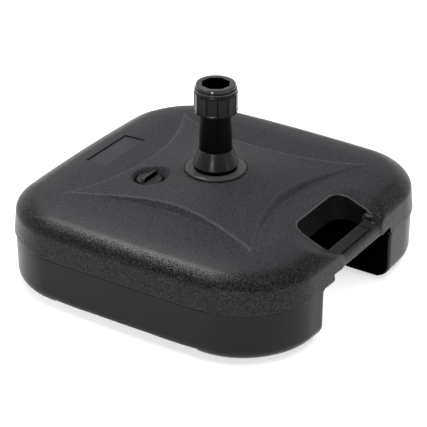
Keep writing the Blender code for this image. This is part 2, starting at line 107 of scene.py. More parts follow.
FILLER_X = -0.079
FILLER_Y = -0.058
DISH_Z = 0.140
DISH_FLOOR_RADIUS = 0.0205
DISH_SLOPE = 0.78
FLANGE_SHADE_RING = (0.0437, 0.0024)  # the painted shade round the flange's edge: its radius and half its width
NECK_BORE = 0.0155
NECK_BOTTOM_Z = 0.070

WELL_RADIUS = 0.0273
RECESS_RADIUS = 0.046
RECESS_TOP_Z = 0.0163

AXLE_X = -0.2225
AXLE_Z = 0.0305
AXLE_RADIUS = 0.004
AXLE_HALF_LENGTH = 0.1335
WHEEL_RADIUS = 0.029
WHEEL_HALF_WIDTH = 0.0125
WHEEL_Y = 0.104
POCKET_RADIUS = 0.033
POCKET_HALF_WIDTH = 0.0155

# ---------------------------------------------------------------- sizes of the fittings

CAP_RADIUS = 0.019
CAP_SEAT_Z = 0.1418
CAP_THICKNESS = 0.0032
CAP_RIB_TOP = 0.1525
CAP_RIB_HALF = (0.0025, 0.0175)
CAP_PLUG_Z = 0.126

TUBE_RADIUS = 0.0242
TUBE_BORE = 0.0198
TUBE_FOOT_Z = 0.0045
COLLAR_TOP_Z = 0.194
COLLAR_FOOT_Z = 0.1680
HEAD_RADIUS = 0.0263
HEAD_BORE = 0.0222
HEAD_FOOT_Z = 0.259
HEAD_TOP_Z = 0.284
NUT_RADIUS = 0.0322
NUT_FOOT_Z = 0.2535
NUT_TOP_Z = 0.2965
NUT_SKIRT_TOP = 0.2865
NUT_FLUTES = 12
FLANGE_SHADED_RADIUS = 0.0320  # inside it the flange lies in the collar's shade
TREAD_GROOVES = 36


# ---------------------------------------------------------------- distances


def round_union(a, b, radius):
    """The distance to either shape, with a fillet of that radius between them."""
    corner = np.hypot(np.maximum(radius - a, 0), np.maximum(radius - b, 0))
    return np.maximum(radius, np.minimum(a, b)) - corner


def round_common(a, b, radius):
    """The distance to what two shapes share, with its outer edge rounded to that radius."""
    corner = np.hypot(np.maximum(radius + a, 0), np.maximum(radius + b, 0))
    return np.minimum(-radius, np.maximum(a, b)) + corner


def round_cut(a, b, radius):
    return round_common(a, -b, radius)


def rounded_rectangle(u, v, low, high, radius):
    """The distance to a rounded rectangle from (low u, low v) to (high u, high v)."""
    middle = ((low[0] + high[0]) / 2, (low[1] + high[1]) / 2)
    du = np.abs(u - middle[0]) - (high[0] - low[0]) / 2 + radius
    dv = np.abs(v - middle[1]) - (high[1] - low[1]) / 2 + radius
    outside = np.hypot(np.maximum(du, 0), np.maximum(dv, 0))
    return outside + np.minimum(np.maximum(du, dv), 0) - radius


def ellipse(u, v, run, rise):
    """About the distance to an ellipse with those half axes, round the point u = v = 0."""
    size = np.hypot(u / run, v / rise)
    steepness = np.hypot(u / run**2, v / rise**2)
    return size * (size - 1) / np.maximum(steepness, 1e-9)


def inset(x, y):
    """How far a point lies inside the tank's widest outline, which has gently bowed sides."""
    depth = np.zeros(np.broadcast(x, y).shape)
    for _ in range(4):
        half_x = HALF_X - depth
        half_y = HALF_Y - depth
        share_x = np.clip(x / (half_x + SIDE_BULGE), -1, 1)
        share_y = np.clip(y / (half_y + SIDE_BULGE), -1, 1)
        plain_x = np.abs(x) - SIDE_BULGE * np.abs(share_x) * (1 - share_y**2)
        plain_y = np.abs(y) - SIDE_BULGE * np.abs(share_y) * (1 - share_x**2)
        du = plain_x - HALF_X + CORNER_RADIUS
        dv = plain_y - HALF_Y + CORNER_RADIUS
        outside = np.hypot(np.maximum(du, 0), np.maximum(dv, 0))
        found = CORNER_RADIUS - outside - np.minimum(np.maximum(du, dv), 0)
        depth = np.clip(found, 0, 0.12)
    return found


def shell(depth, z):
    """The tank below its star: an inward curving foot, a ledge at the parting line, a wide roundover."""
    below = z - LOWER_ROUND_HEIGHT
    lower = ellipse(FOOT_INSET - depth, below, FOOT_INSET - LOWER_INSET, LOWER_ROUND_HEIGHT)
    foot = np.where(depth > FOOT_INSET, -z, lower)
    rise = below / (PARTING_Z - LOWER_ROUND_HEIGHT)
    wall = LOWER_INSET + (LEDGE - LOWER_INSET) * rise - depth
    lower_half = np.where(z < LOWER_ROUND_HEIGHT, foot, wall)
    lower_half = np.maximum(lower_half, z - PARTING_Z - 0.01)
    skirt = SHOULDER_INSET * (z - PARTING_Z) / (SHOULDER_Z - PARTING_Z) - depth
    over = ellipse(RIM_INSET - depth, z - SHOULDER_Z, RIM_INSET - SHOULDER_INSET, RIM_Z - SHOULDER_Z)
    crown = np.where(depth > RIM_INSET, z - RIM_Z, over)
    upper_half = np.where(z < SHOULDER_Z, skirt, crown)
    upper_half = round_common(upper_half, PARTING_Z - z, 0.0004)
    seam = np.maximum(np.abs(z - PARTING_Z + SEAM_HEIGHT / 2) - SEAM_HEIGHT / 2, depth - LEDGE - SEAM_DEPTH)
    return np.maximum(np.minimum(lower_half, upper_half), -seam)


def star_inside(x, y):
    """The distance inside the nearest of the star's four concave sides."""
    inside = np.full(np.broadcast(x, y).shape, 1.0)
    for along, out, half, tip in ((x, -y, STAR_TIP[0], STAR_TIP[1]), (x, y, STAR_TIP[0], STAR_TIP[1]),
                                  (y, -x, STAR_TIP[1], STAR_TIP[0]), (y, x, STAR_TIP[1], STAR_TIP[0])):
        sagitta = tip - STAR_WAIST
        radius = (half**2 + sagitta**2) / (2 * sagitta)
        inside = np.minimum(inside, np.hypot(along, STAR_WAIST + radius - out) - radius)
    return inside


def dome_height(x, y):
    """The star's shallow dome over the rim's plane, with a level middle that the stem's flange sits on."""
    reach = np.maximum(np.hypot(x, y), PLATEAU_RADIUS)
    share = np.maximum(DOME_RADIUS - reach, 0) / (DOME_RADIUS - PLATEAU_RADIUS)
    return STAR_STEP + (PLATEAU_Z - RIM_Z - STAR_STEP) * share**DOME_POWER


def star_height(x, y):
    """How far the star stands above the rim's plane: its dome, ended by a steep band at each side."""
    return round_union(star_inside(x, y) * BAND_SLOPE, dome_height(x, y), 0.0010)


def hand_hole(x, y):
    """The distance to the hand hole's outline at the top, which takes in the bar."""
    return rounded_rectangle(x, y, (HOLE_X[0], -HOLE_HALF_Y), (HOLE_END_X, HOLE_HALF_Y), HOLE_RADIUS)


def carrying_gap(x, y, z, body):
    """Cuts the hand hole, the gap under the bar and the notch below, and adds the bar."""
    far = HALF_X + 0.12
    outer = ellipse(x - BAR_CREST_X, z - BAR_ROUND_Z, BAR_OUTER_X - BAR_CREST_X, STRIP_Z - BAR_ROUND_Z)
    outer = np.where(z > BAR_ROUND_Z, outer, x - BAR_OUTER_X)
    outer = np.where(x > BAR_CREST_X, outer, z - STRIP_Z)
    beyond = np.where(y > 0, (y - SADDLE_Y[1]) * SADDLE_SLOPE[1], (SADDLE_Y[0] - y) * SADDLE_SLOPE[0])
    rise = np.hypot(np.maximum(SADDLE_X - x, 0) * SADDLE_SLOPE[0], np.maximum(beyond, 0))
    body = round_common(body, outer - rise, 0.0060)
    opening = hand_hole(x, y)
    cut = round_cut(body, opening, 0.0022)
    end_top = BAR_TOP_Z + 0.0006
    bar = round_common(z - end_top, HOLE_X[1] - ROLL_REACH - x, 0.0035)
    hung = np.maximum(STRIP_HALF_Y - np.abs(y), STRIP_Z - BAR_DEPTH - z)
    bar = np.maximum(bar, np.minimum(HOLE_X[1] - x, hung))
    bar = np.maximum(np.maximum(bar, x - BAR_CREST_X - 0.003), np.abs(y) - HOLE_HALF_Y - 0.01)
    strip = rounded_rectangle(y, z, (-STRIP_HALF_Y, STRIP_Z), (STRIP_HALF_Y, STRIP_Z + 0.05), 0.0015)
    bar = round_cut(bar, strip, 0.0026)
    both = np.maximum(round_union(cut, bar, 0.0015), body)
    crest = np.abs(x - BAR_CREST_X) - GROOVE_HALF_WIDTH
    crest = np.maximum(crest, np.maximum(GROOVE_Y[0] - y, y - GROOVE_Y[1]))
    cross = np.maximum(np.abs(y - GROOVE_Y[1]) - GROOVE_HALF_WIDTH, np.abs(x - CROSS_X) - CROSS_HALF_X)
    groove = np.maximum(np.minimum(crest, cross), -both - GROOVE_DEPTH)
    both = round_cut(both, groove, 0.0003)
    under = rounded_rectangle(x, y, (HOLE_X[0] - 0.0005, UNDER_BAR_Y[0]), (far, UNDER_BAR_Y[1]), 0.010)
    both = round_cut(both, np.maximum(under, z - BAR_UNDERSIDE_Z), 0.0012)
    notch = rounded_rectangle(x, y, (HOLE_X[0] - 0.001, NOTCH_Y[0]), (far, NOTCH_Y[1]), 0.0065)
    return round_cut(both, np.maximum(notch, z - PARTING_Z), 0.0055)


def filler_dish(x, y, z, body):
    """Cuts the dish that the cap sits in, and the filler's neck below it."""
    reach = np.hypot(x - FILLER_X, y - FILLER_Y)
    wall = (reach - DISH_FLOOR_RADIUS - (z - DISH_Z) * DISH_SLOPE) / math.hypot(1, DISH_SLOPE)
    dish = round_common(wall, DISH_Z - z, 0.0015)
    body = round_cut(body, dish, 0.0012)
    neck = np.maximum(reach - NECK_BORE, NECK_BOTTOM_Z - z)
    return round_cut(body, neck, 0.0006)


def stem_well(x, y, z, body):
    """Cuts the bore that the stem passes through, and the recess round its foot."""
    reach = np.hypot(x, y)
    body = np.maximum(body, WELL_RADIUS - reach)
    recess = np.maximum(reach - RECESS_RADIUS, z - RECESS_TOP_Z)
    return round_cut(body, recess, 0.0010)


def wheel_pockets(x, y, z, body):
    """Cuts a pocket round each wheel, open below and behind, and the groove that the axle snaps into."""
    reach = np.hypot(x - AXLE_X, z - AXLE_Z) - POCKET_RADIUS
    inner = x - AXLE_X - POCKET_RADIUS
    mouth = np.maximum(inner, z - AXLE_Z)
    beside = np.maximum(x - AXLE_X, z - AXLE_Z - POCKET_RADIUS)
    section = np.minimum(reach, np.minimum(mouth, beside))
    width = np.abs(np.abs(y) - WHEEL_Y) - POCKET_HALF_WIDTH
    body = round_cut(body, round_common(section, width, 0.002), 0.0016)
    groove = np.hypot(x - AXLE_X, z - AXLE_Z) - AXLE_RADIUS - 0.0003
    groove = np.minimum(groove, np.maximum(np.abs(x - AXLE_X) - AXLE_RADIUS * 0.9, z - AXLE_Z))
    return round_cut(body, np.maximum(groove, np.abs(y) - AXLE_HALF_LENGTH - 0.001), 0.0006)


def tank_distance(x, y, z):
    """About the signed distance to the tank's surface, in metres, negative inside."""
    depth = inset(x, y)
    body = shell(depth, z)
    star = z - RIM_Z - star_height(x, y)
    star = np.maximum(star * 0.8, RIM_Z - 0.02 - z)
    body = np.where(depth > 0.02, round_union(body, star, 0.0003), body)
    raised = np.minimum(np.abs(x) - FOOT_START[0], np.abs(y) - FOOT_START[1])
    body = round_cut(body, np.maximum(raised, z - UNDERSIDE_Z), 0.0012)
    arch_x = np.abs(x) - FOOT_START[0] + np.maximum(z, 0) * 0.5
    arch = round_common(arch_x, ARCH_DEPTH_Y - np.abs(y), 0.004)
    body = round_cut(body, np.maximum(arch, z - ARCH_Z), 0.0020)
    label = rounded_rectangle(x, y, (LABEL_X[0], -LABEL_HALF_Y), (LABEL_X[1], LABEL_HALF_Y), 0.0015)
    body = round_cut(body, np.maximum(label, -body - LABEL_DEPTH), 0.0005)
    body = carrying_gap(x, y, z, body)
    body = filler_dish(x, y, z, body)
    body = stem_well(x, y, z, body)
    return wheel_pockets(x, y, z, body)


# ---------------------------------------------------------------- meshing a distance


def slope_of(distance, points):
    """Unit normals of the distance at the points, and how steep it is there."""
    step = 0.00015
    found = np.empty(points.shape)
    for axis in range(3):
        shift = np.zeros(3)
        shift[axis] = step
        high = distance(*(points + shift).T)
        low = distance(*(points - shift).T)
        found[:, axis] = (high - low) / (2 * step)
    size = np.maximum(np.linalg.norm(found, axis=1), 1e-6)
    return found / size[:, None], size


def crossings(values, lines, axis):
    """Where the surface crosses the grid's edges along one axis: cell, point, and if it faces onwards."""
    low = np.moveaxis(values, axis, 0)[:-1]
    high = np.moveaxis(values, axis, 0)[1:]
    index = np.argwhere((low < 0) != (high < 0))
    at = tuple(index.T)
    share = low[at] / (low[at] - high[at])
    outwards = low[at] < 0
    order = [axis] + [other for other in range(3) if other != axis]
    cell = np.empty_like(index)
    for place, other in enumerate(order):
        cell[:, other] = index[:, place]
    points = np.stack([lines[a][cell[:, a]] for a in range(3)], axis=1)
    ahead = lines[axis][cell[:, axis] + 1]
    points[:, axis] += share * (ahead - points[:, axis])
    return cell, points, outwards


def summed(owners, values, count):
    """The rows of values added up for each owner, from 0 to count."""
    return np.stack([np.bincount(owners, values[:, a], count) for a in range(3)], axis=1)


def mesh_distance(distance, lines):
    """(points, quads) by dual contouring on an uneven grid. Planes fitted in each cell keep the edges."""
    x, y, z = lines
    values = distance(x[:, None, None], y[None, :, None], z[None, None, :])
    cells = tuple(len(line) - 1 for line in lines)
    faces, owners, planes, marks = [], [], [], []
    for axis in range(3):
        cell, points, outwards = crossings(values, lines, axis)
        first, second = (axis + 1) % 3, (axis + 2) % 3
        inner = (cell[:, first] > 0) & (cell[:, second] > 0)
        inner &= (cell[:, first] < cells[first]) & (cell[:, second] < cells[second])
        cell, points, outwards = cell[inner], points[inner], outwards[inner]
        normals, _ = slope_of(distance, points)
        around = []
        for step_first, step_second in ((0, 0), (-1, 0), (-1, -1), (0, -1)):
            neighbour = cell.copy()
            neighbour[:, first] += step_first
            neighbour[:, second] += step_second
            flat = np.ravel_multi_index(neighbour.T, cells)
            around.append(flat)
            owners.append(flat)
            planes.append(normals)
            marks.append(points)
        quad = np.stack(around, axis=1)
        quad[~outwards] = quad[~outwards][:, ::-1]
        faces.append(quad)
    owners = np.concatenate(owners)
    planes = np.concatenate(planes)
    marks = np.concatenate(marks)
    faces = np.concatenate(faces)
    used, owners = np.unique(owners, return_inverse=True)
    lattice = np.full(int(np.prod(cells)), -1, np.int64)
    lattice[used] = np.arange(len(used))
    count = np.bincount(owners, minlength=len(used)).astype(float)
    centre = summed(owners, marks, len(used)) / count[:, None]
    offset = np.einsum("ij,ij->i", planes, marks - centre[owners])
    squares = [summed(owners, planes * planes[:, [a]], len(used)) for a in range(3)]
    matrix = np.stack(squares, axis=1)
    right = summed(owners, planes * offset[:, None], len(used))
    matrix += 0.03 * count[:, None, None] * np.eye(3)
    moved = np.linalg.solve(matrix, right[:, :, None])[:, :, 0]
    grid = np.stack(np.unravel_index(used, cells), axis=1)
    low = np.stack([lines[a][grid[:, a]] for a in range(3)], axis=1)
    high = np.stack([lines[a][grid[:, a] + 1] for a in range(3)], axis=1)
    points = np.clip(centre + moved, low, high)
    mean = summed(owners, planes, len(used)) / count[:, None]
    smooth = np.linalg.norm(mean, axis=1) > 0.95
    for _ in range(3):
        near = points[smooth]
        normals, size = slope_of(distance, near)
        step = np.clip(distance(*near.T) / size, -0.0008, 0.0008)
        points[smooth] = near - normals * step[:, None]
    return points, lattice[faces]


def grid_lines(stops):
    """Grid lines from (place, spacing up to the next place) pairs. The last pair's spacing is not used."""
    lines = []
    for (start, spacing), (end, _) in zip(stops, stops[1:]):
        count = max(1, round((end - start) / spacing))
        lines.append(np.linspace(start, end, count, endpoint=False))
    lines.append([stops[-1][0]])
    return np.concatenate(lines)


def tank_lines():
    """The tank's grid, closest at the label's edge, the bar's grooves, the hole's end and the seam."""
    coarse, fine = ((0.0037, 0.0021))
    detail = 0.0008
    x = grid_lines([
        (-0.2561, coarse), (-0.2025, detail), (-0.1975, coarse), (-0.112, fine * 1.2), (-0.046, coarse),
        (0.160, fine), (0.2393, detail), (0.2457, fine), (0.2571, fine),
    ])
    y = grid_lines([
        (-0.2553, coarse), (-0.110, fine), (-0.050, coarse * 0.9), (0.0485, detail), (0.0535, fine),
        (0.0615, detail), (0.0675, fine), (0.092, coarse), (0.2553, fine),
    ])
    z = grid_lines([(-0.0031, 0.0017), (0.0071, 0.0035), (0.0801, 0.0005), (0.0846, fine), (0.1611, fine)])
    return x, y, z


# ---------------------------------------------------------------- meshes and pieces


def piece(name, points, faces, look, body, replaces=(), sharp=50):
    """Adds one mesh of the object: it rides on a CAD body and stands for the CAD nodes named."""
    mesh = bpy.data.meshes.new(name)
    faces = [tuple(int(i) for i in face) for face in faces]
    mesh.from_pydata([tuple(point) for point in points], [], faces)
    mesh.validate()
    mesh.polygons.foreach_set("use_smooth", [True] * len(mesh.polygons))
    mesh.set_sharp_from_angle(angle=math.radians(sharp))
    mesh.materials.append(look)
    obj = bpy.data.objects.new(name, mesh)
    bpy.context.scene.collection.objects.link(obj)
    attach(obj, body)
    if replaces:
        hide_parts(*replaces)
    return obj


def spots(items, name):
    """(x, y, z) arrays of a vector that each vertex or face has."""
    found = np.empty(len(items) * 3)
    items.foreach_get(name, found)
    return found.reshape(-1, 3).T


def paint(mesh, index, *looks):
    """Gives each face the look at its index, where 0 is the piece's own and the looks named follow."""
    for look in looks:
        mesh.materials.append(look)
    mesh.polygons.foreach_set("material_index", index.astype(np.int32))


def rounded(profile, steps=4):
    """A closed outline of (radius, z, corner radius) points with each corner turned into an arc."""
    made = []
    count = len(profile)
    for i, (r, z, corner) in enumerate(profile):
        here = np.array([r, z])
        before = np.array(profile[i - 1][:2]) - here
        after = np.array(profile[(i + 1) % count][:2]) - here
        room = min(np.linalg.norm(before), np.linalg.norm(after)) * 0.48
        if corner <= 0 or room <= 0:
            made.append((r, z))
            continue
        before /= np.linalg.norm(before)
        after /= np.linalg.norm(after)
        half = math.acos(float(np.clip(before @ after, -1, 1))) / 2
        if half > math.radians(85):
            made.append((r, z))
            continue
        back = min(corner / math.tan(half), room)
        radius = back * math.tan(half)
        middle = (before + after) / np.linalg.norm(before + after)
        centre = here + middle * radius / math.sin(half)
        start = here + before * back - centre
        end = here + after * back - centre
        for j in range(steps + 1):
            share = j / steps
            ray = start * (1 - share) + end * share
            ray *= radius / np.linalg.norm(ray)
            made.append(tuple(centre + ray))
    return np.array(made)


def turned(profile, steps, shape=None):
    """(points, quads) of a closed (radius, z) outline turned about Z. shape(radius, angle, z) bends it."""
    following = np.roll(profile, -1, axis=0)
    if np.sum(profile[:, 0] * following[:, 1] - following[:, 0] * profile[:, 1]) > 0:
        profile = profile[::-1]
    angles = np.arange(steps) * 2 * math.pi / steps
    radius = np.repeat(profile[None, :, 0], steps, axis=0)
    z = np.repeat(profile[None, :, 1], steps, axis=0)
    around = np.repeat(angles[:, None], len(profile), axis=1)
    if shape:
        radius = shape(radius, around, z)
    points = np.stack([radius * np.cos(around), radius * np.sin(around), z], axis=2)
    count = len(profile)
    step, place = np.meshgrid(np.arange(steps), np.arange(count), indexing="ij")
    a = step * count + place
    b = step * count + (place + 1) % count
    c = (step + 1) % steps * count + (place + 1) % count
    d = (step + 1) % steps * count + place
    return points.reshape(-1, 3), np.stack([a, b, c, d], axis=2).reshape(-1, 4)


# ---------------------------------------------------------------- materials


def material(name, colour, roughness, specular, metallic=0.0):
    made = bpy.data.materials.new(name)
    made.use_nodes = True
    tree = made.node_tree
    shader = tree.nodes["Principled BSDF"]
    shader.inputs["Base Color"].default_value = (*colour, 1)
    shader.inputs["Roughness"].default_value = roughness
    shader.inputs["Specular IOR Level"].default_value = specular
    shader.inputs["Metallic"].default_value = metallic
    return made, tree, shader


def node(tree, kind, **values):
    made = tree.nodes.new(kind)
    for name, value in values.items():
        if hasattr(made, name):
            setattr(made, name, value)
        else:
            made.inputs[name.replace("_", " ")].default_value = value
    return made


def surface_point(tree):
    return tree.nodes.new("ShaderNodeTexCoord").outputs["Object"]


def noise(tree, coordinates, scale, detail=2.0, roughness=0.5):
    made = node(tree, "ShaderNodeTexNoise", Scale=scale, Detail=detail, Roughness=roughness)
    tree.links.new(coordinates, made.inputs["Vector"])
    return made.outputs["Fac"]


def ramp(tree, value, low, high, start, end):
    """Maps value from low..high to start..end, with nothing beyond."""
    made = tree.nodes.new("ShaderNodeMapRange")
    made.inputs["From Min"].default_value = low
    made.inputs["From Max"].default_value = high
    made.inputs["To Min"].default_value = start
    made.inputs["To Max"].default_value = end
    tree.links.new(value, made.inputs["Value"])
    return made.outputs["Result"]


def arithmetic(tree, operation, a, b):
    made = tree.nodes.new("ShaderNodeMath")
    made.operation = operation
    for socket, value in zip(made.inputs, (a, b)):
        if isinstance(value, (int, float)):
            socket.default_value = value
        else:
            tree.links.new(value, socket)
    return made.outputs[0]


def mixed_colour(tree, share, first, second):
    made = tree.nodes.new("ShaderNodeMix")
    made.data_type = "RGBA"
    for socket, value in ((made.inputs[6], first), (made.inputs[7], second)):
        if isinstance(value, tuple):
            socket.default_value = (*value, 1)
        else:
            tree.links.new(value, socket)
    tree.links.new(share, made.inputs[0])
    return made.outputs[2]


def bump(tree, shader, height, strength, distance):
    made = node(tree, "ShaderNodeBump", Strength=strength, Distance=distance)
    tree.links.new(height, made.inputs["Height"])
    tree.links.new(made.outputs["Normal"], shader.inputs["Normal"])


def grained_tank_plastic():
    """Black plastic: coarse sparkling grain on the upper band, fine leathery grain on the flats."""
    made, tree, shader = material("tank_plastic", (0.012, 0.012, 0.0125), 0.42, 0.15)
    where = surface_point(tree)
    grain, flat, label, seam, rim = (
        node(tree, "ShaderNodeAttribute", attribute_name=name).outputs["Fac"]
        for name in ("grain", "flat", "label", "seam", "rim")
    )
    coarse = noise(tree, where, 520, roughness=0.6)
    fine = noise(tree, where, 600, roughness=0.6)
    cloud = noise(tree, where, 9)
    colour = mixed_colour(tree, cloud, (0.0070, 0.0071, 0.0072), (0.0100, 0.0101, 0.0103))
    fleck = ramp(tree, fine, 0.36, 0.64, 0.0, 1.0)
    top = mixed_colour(tree, fleck, (0.0072, 0.0074, 0.0090), (0.0365, 0.0371, 0.0416))
    colour = mixed_colour(tree, flat, colour, top)
    speckle = ramp(tree, coarse, 0.42, 0.64, 0.0, 1.0)
    dotted = mixed_colour(tree, speckle, (0.0016, 0.0016, 0.0017), (0.031, 0.0315, 0.0325))
    colour = mixed_colour(tree, grain, colour, dotted)
    colour = mixed_colour(tree, label, colour, (0.032, 0.033, 0.037))
    # Painted highlight: a light grey where the rim field is set, on the hand hole's rim, the bar's lip and
    # the star's crests.
    colour = mixed_colour(tree, rim, colour, (0.11, 0.11, 0.115))
    # Painted shade: near-black where the seam field is set, along the label's edge, grooves, parting line,
    # dish floor and the flange's edge.
    colour = mixed_colour(tree, seam, colour, (0.001, 0.001, 0.001))
    tree.links.new(colour, shader.inputs["Base Color"])
    rough = ramp(tree, arithmetic(tree, "MULTIPLY", flat, flat), 0, 1, 0.29, 0.52)
    rough = arithmetic(tree, "ADD", rough, ramp(tree, seam, 0, 1, 0.0, 0.4))
    tree.links.new(rough, shader.inputs["Roughness"])
    strong = arithmetic(tree, "MULTIPLY", coarse, ramp(tree, grain, 0, 1, 0.0, 1.5))
    weak = arithmetic(tree, "MULTIPLY", fine, ramp(tree, flat, 0, 1, 0.05, 0.35))
    bump(tree, shader, arithmetic(tree, "ADD", strong, weak), 0.5, 0.0008)
    return made


def moulded_plastic(name, colour, roughness, specular=0.5, mottle=0.15):
    """Smooth black plastic with a faint moulded mottle and fine handling marks in its gloss."""
    made, tree, shader = material(name, colour, roughness, specular)
    where = surface_point(tree)
    cloud = noise(tree, where, 60, 3.0, 0.6)
    light = tuple(c * (1 + mottle) for c in colour)
    dark = tuple(c * (1 - mottle) for c in colour)
    tree.links.new(mixed_colour(tree, cloud, dark, light), shader.inputs["Base Color"])
    rough = ramp(tree, cloud, 0.3, 0.7, roughness * 0.88, roughness * 1.12)
    tree.links.new(rough, shader.inputs["Roughness"])
    bump(tree, shader, noise(tree, where, 900), 0.08, 0.0002)
    return made


def zinc_steel():
    """Plated steel with fine crystals that differ a little in shade and gloss."""
    made, tree, shader = material("axle_steel", (0.55, 0.56, 0.58), 0.32, 0.5, 1.0)
    where = surface_point(tree)
    cloud = noise(tree, where, 400, 4.0, 0.7)
    tree.links.new(ramp(tree, cloud, 0.3, 0.7, 0.24, 0.42), shader.inputs["Roughness"])
    shade = mixed_colour(tree, cloud, (0.50, 0.51, 0.53), (0.60, 0.61, 0.62))
    tree.links.new(shade, shader.inputs["Base Color"])
    return made


TANK_PLASTIC = grained_tank_plastic()
# Painted shade: a near-black plastic for hollows and faces that lie in shade, and a darker copy of the tank
# plastic for the hand hole's walls.
PAINTED_SHADE = moulded_plastic("painted_shade_black", (0.0007, 0.0007, 0.0008), 0.7, 0.0)
SHADED_HOLE_WALL = moulded_plastic("hole_wall_painted_shade", (0.0045, 0.0045, 0.0052), 0.60, 0.04)
FITTING = moulded_plastic("fitting_plastic", (0.0034, 0.0034, 0.0037), 0.28, 0.20)
# A lighter grey plastic for the flange; on the nut's flat crown it is a painted sheen.
FLANGE_AND_CROWN_SHEEN = moulded_plastic("flange_plastic_and_crown_sheen", (0.036, 0.036, 0.038), 0.34, 0.35)
NUT = moulded_plastic("nut_plastic", (0.0028, 0.0028, 0.0026), 0.24, 0.17)
BEAD = moulded_plastic("nut_bead_plastic", (0.0030, 0.0030, 0.0030), 0.15, 0.55)
CAP = moulded_plastic("cap_plastic", (0.019, 0.0195, 0.022), 0.42, 0.22)
GLOSS = moulded_plastic("stem_plastic", (0.0016, 0.0016, 0.0020), 0.38, 0.04, 0.05)
WHEEL = moulded_plastic("wheel_plastic", (0.012, 0.012, 0.013), 0.40, 0.45)
RUBBER = moulded_plastic("seal_rubber", (0.010, 0.010, 0.010), 0.75, 0.3)
STEEL = zinc_steel()


# ---------------------------------------------------------------- the tank


def soft_step(value, low, high):
    share = np.clip((value - low) / (high - low), 0, 1)
    return share * share * (3 - 2 * share)


def add_field(mesh, name, values):
    field = mesh.attributes.new(name, "FLOAT", "POINT")
    field.data.foreach_set("value", np.asarray(values, np.float32))


def distance_to_label(x, y):
    """The distance to the label recess's outline, negative inside."""
    middle, half = sum(LABEL_X) / 2, (LABEL_X[1] - LABEL_X[0]) / 2
    return np.maximum(np.abs(x - middle) - half, np.abs(y) - LABEL_HALF_Y)


def label_fields(x, y, z, depth):
    """Where the label recess's floor lies, and where shade is painted along its edge."""
    away = distance_to_label(x, y)
    recess = (shell(depth, z) < -0.6 * LABEL_DEPTH) & (z > SHOULDER_Z)
    return (away < -LABEL_EDGE) & recess, (np.abs(away) < LABEL_EDGE) & recess


def painted_shade_lines(x, y, z, depth):
    """Where shade is painted: the bar's grooves, the groove under the parting line's ledge, the dish's
    floor round the cap and a ring under the flange's edge.
    """
    crest = np.abs(x - BAR_CREST_X) < GROOVE_HALF_WIDTH + 0.0001
    crest &= (y > GROOVE_Y[0]) & (y < GROOVE_Y[1])
    cross = (np.abs(y - GROOVE_Y[1]) < GROOVE_HALF_WIDTH + 0.0002) & (np.abs(x - CROSS_X) < CROSS_HALF_X)
    grooves = (crest | cross) & (z > BAR_ROUND_Z)
    parting = np.abs(z - PARTING_Z + SEAM_HEIGHT / 2) < SEAM_HEIGHT * 0.55
    parting &= (depth > 0.0008) & (depth < 0.006)
    dish = (np.hypot(x - FILLER_X, y - FILLER_Y) < DISH_FLOOR_RADIUS + 0.0022) & (z < DISH_Z + 0.0035)
    flange = (np.abs(np.hypot(x, y) - FLANGE_SHADE_RING[0]) < FLANGE_SHADE_RING[1]) & (z > RIM_Z)
    return grooves | parting | dish | flange


def painted_highlight_edges(x, y, z, normals):
    """The hand hole's rim and the lip below the bar, where a highlight is painted into the colour."""
    around = hand_hole(x, y)
    rim = (around > -0.0004) & (around < 0.0019) & (z > BAR_TOP_Z + 0.001)
    rim &= (np.abs(y) > 0.046) | (x < HOLE_X[1])
    rim &= (normals[:, 2] > 0.25) & (normals[:, 2] < 0.96)
    lip = (z < BAR_UNDERSIDE_Z + 0.0022) & (z > BAR_UNDERSIDE_Z - 0.0004) & (x > BAR_OUTER_X - 0.0016)
    lip &= (y > UNDER_BAR_Y[0]) & (y < UNDER_BAR_Y[1] + 0.001)
    return rim | lip


def tank_fields(mesh):
    """What the tank's material reads at each vertex: its grains, label, painted shade lines, and painted
    highlights on the hole's rim, the bar's lip and the star's crests.
    """
    x, y, z = spots(mesh.vertices, "co")
    normals, _ = slope_of(tank_distance, np.stack([x, y, z], axis=1))
    depth = inset(x, y)
    upper = soft_step(z, PARTING_Z + 0.0005, PARTING_Z + 0.002)
    flat = soft_step(depth, *GRAIN_INSET)
    outwards = (normals[:, 0] * np.sign(x) > 0.2) | (normals[:, 1] * np.sign(y) > 0.2)
    grain = upper * (1 - flat) * (outwards | (normals[:, 2] > 0.3))
    on_bar = (x > HOLE_X[1] - 0.002) & (np.abs(y) < HOLE_HALF_Y + 0.004) & (z < BAR_TOP_Z + 0.004)
    grain = np.where(on_bar & (x < BAR_CREST_X), 0.15 * grain, grain)
    label, label_edge = label_fields(x, y, z, depth)
    # Painted highlight along the star's crests: a light line where the steep band meets the dome.
    off_crest = (star_inside(x, y) * BAND_SLOPE - dome_height(x, y)) / 0.0012
    crest_highlight = np.exp(-(off_crest**2)) * (z > RIM_Z)
    # The rim field is a painted highlight: on the hand hole's rim and the bar's lip, and fainter on the
    # star's crests.
    rim = np.maximum(0.5 * painted_highlight_edges(x, y, z, normals), 0.13 * crest_highlight)
    add_field(mesh, "grain", grain)
    add_field(mesh, "flat", flat * upper)
    add_field(mesh, "label", label)
    # The seam field is painted shade: the label's edge, the bar's grooves, the parting line's groove, the
    # dish's floor and a ring under the flange.
    add_field(mesh, "seam", label_edge | painted_shade_lines(x, y, z, depth))
    add_field(mesh, "rim", rim)


def crease_star_foot(mesh):
    """Marks the edges along the foot of the star's bands as sharp."""
    x, y, z = spots(mesh.vertices, "co")
    foot = (np.abs(star_inside(x, y)) < 0.0010) & (np.abs(z - RIM_Z) < 0.0020)
    ends = np.empty(len(mesh.edges) * 2, np.int32)
    mesh.edges.foreach_get("vertices", ends)
    sharp = np.empty(len(mesh.edges), bool)
    mesh.edges.foreach_get("use_edge_sharp", sharp)
    mesh.edges.foreach_set("use_edge_sharp", sharp | foot[ends[::2]] & foot[ends[1::2]])


